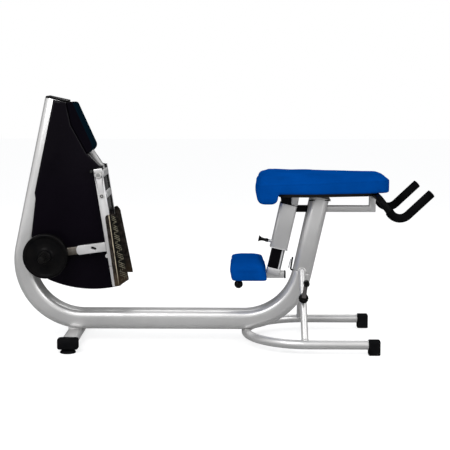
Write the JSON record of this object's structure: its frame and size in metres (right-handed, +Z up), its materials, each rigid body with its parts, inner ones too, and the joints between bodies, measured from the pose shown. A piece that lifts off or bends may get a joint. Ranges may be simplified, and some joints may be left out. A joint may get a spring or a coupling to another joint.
{
  "type": "glute machine",
  "caption": "Prone glute kickback machine: bent frame with a padded bench, weighted kick levers, a closed tower casing and a height-adjustable knee pad.",
  "frame": {"origin": "centre of the footprint's bounding box, on the floor", "axes": "+X from the tower to the bench and handlebar, +Y the user's left, +Z up"},
  "size_m": [1.8631, 0.602, 1.114],
  "materials": {
    "silver_paint": "satin metallic silver paint",
    "chrome": "bright chrome plate",
    "steel": "bright zinc plate",
    "black_rubber": "moulded, matt",
    "tread_rubber": "chequered, worn at the edges",
    "casing_black": "high gloss",
    "cover_blue_black": "gloss, blue-black",
    "plate_brown_black": "textured, worn at the fold",
    "iron_black": "black enamel",
    "black_paint": "satin",
    "black_gloss": "moulded, gloss",
    "nylon": "moulded",
    "bronze": "turned",
    "blue_vinyl": "grained vinyl over foam",
    "board_black": "plywood stained black"
  },
  "bodies": {
    "frame": {"main_frame_tube": "silver_paint", "bench_upright": "silver_paint", "tower_top_plate": "black_paint", "head_flange": "silver_paint", "cross_foot_tube": "silver_paint", "foot_cap_right": "black_rubber", "foot_cap_left": "black_rubber", "levelling_foot_right": "black_rubber", "levelling_foot_left": "black_rubber", "floor_u_tube": "silver_paint", "floor_tube_cap_right": "black_rubber", "floor_tube_cap_left": "black_rubber", "brace_right": "silver_paint", "brace_left": "silver_paint", "pivot_housing": "silver_paint", "pivot_axle": "steel", "axle_nut": "steel", "pivot_bush_right": "bronze", "pivot_bush_left": "bronze", "stop_bar": "steel", "stop_sleeve_right": "black_rubber", "stop_sleeve_left": "black_rubber", "pivot_arm": "silver_paint", "casing_right": "casing_black", "casing_left": "casing_black", "front_cover": "cover_blue_black", "bench_rail": "silver_paint", "pad_board": "board_black", "torso_pad": "blue_vinyl", "handlebar": "black_paint", "grip_left": "black_rubber", "grip_right": "black_rubber", "sleeve_liner": "nylon", "sleeve_top_block": "nylon", "knee_sleeve": "silver_paint", "upright_hook": "black_paint"},
    "right_lever": {"right_lever_bar": "silver_paint", "right_guide_bolt": "nylon", "right_foot_plate": "plate_brown_black", "right_tread_mat": "tread_rubber", "right_weight_strut": "silver_paint", "right_weight_horn": "iron_black", "right_weight_disc": "iron_black", "right_weight_collar": "iron_black"},
    "left_lever": {"left_lever_bar": "silver_paint", "left_guide_bolt": "nylon", "left_foot_plate": "plate_brown_black", "left_tread_mat": "tread_rubber", "left_weight_strut": "silver_paint", "left_weight_horn": "iron_black", "left_weight_disc": "iron_black", "left_weight_collar": "iron_black"},
    "knee_rest": {"knee_post": "chrome", "knee_arm": "silver_paint", "knee_arm_cap": "nylon", "knee_pad": "blue_vinyl"},
    "knee_knob": {"knee_knob": "black_gloss"},
    "pull_pin": {"pull_pin": "black_gloss"},
    "clamp_lever": {"clamp_lever": "black_gloss"}
  },
  "joints": [
    {"name": "right_lever_swing", "type": "hinge", "parent": "frame", "child": "right_lever", "pos_m": [-0.529, 0, 0.7675], "axis": [0, 1, 0], "range_deg": [0, 40]},
    {"name": "left_lever_swing", "type": "hinge", "parent": "frame", "child": "left_lever", "pos_m": [-0.529, 0, 0.7675], "axis": [0, 1, 0], "range_deg": [0, 40]},
    {"name": "knee_post_slide", "type": "slide", "parent": "frame", "child": "knee_rest", "axis": [0.2164, 0, 0.9763], "range_m": [-0.044, 0]},
    {"name": "knee_knob_turn", "type": "hinge", "parent": "knee_rest", "child": "knee_knob", "pos_m": [0.091, 0, 0.26], "axis": [0, 0, 1], "continuous": true},
    {"name": "pull_pin_slide", "type": "slide", "parent": "frame", "child": "pull_pin", "axis": [0.9763, 0, -0.2164], "range_m": [0, 0.01]},
    {"name": "clamp_lever_turn", "type": "hinge", "parent": "frame", "child": "clamp_lever", "pos_m": [0.3783, -0.173, 0.231], "axis": [0, 1, 0], "range_deg": [-80, 80]}
  ]
}
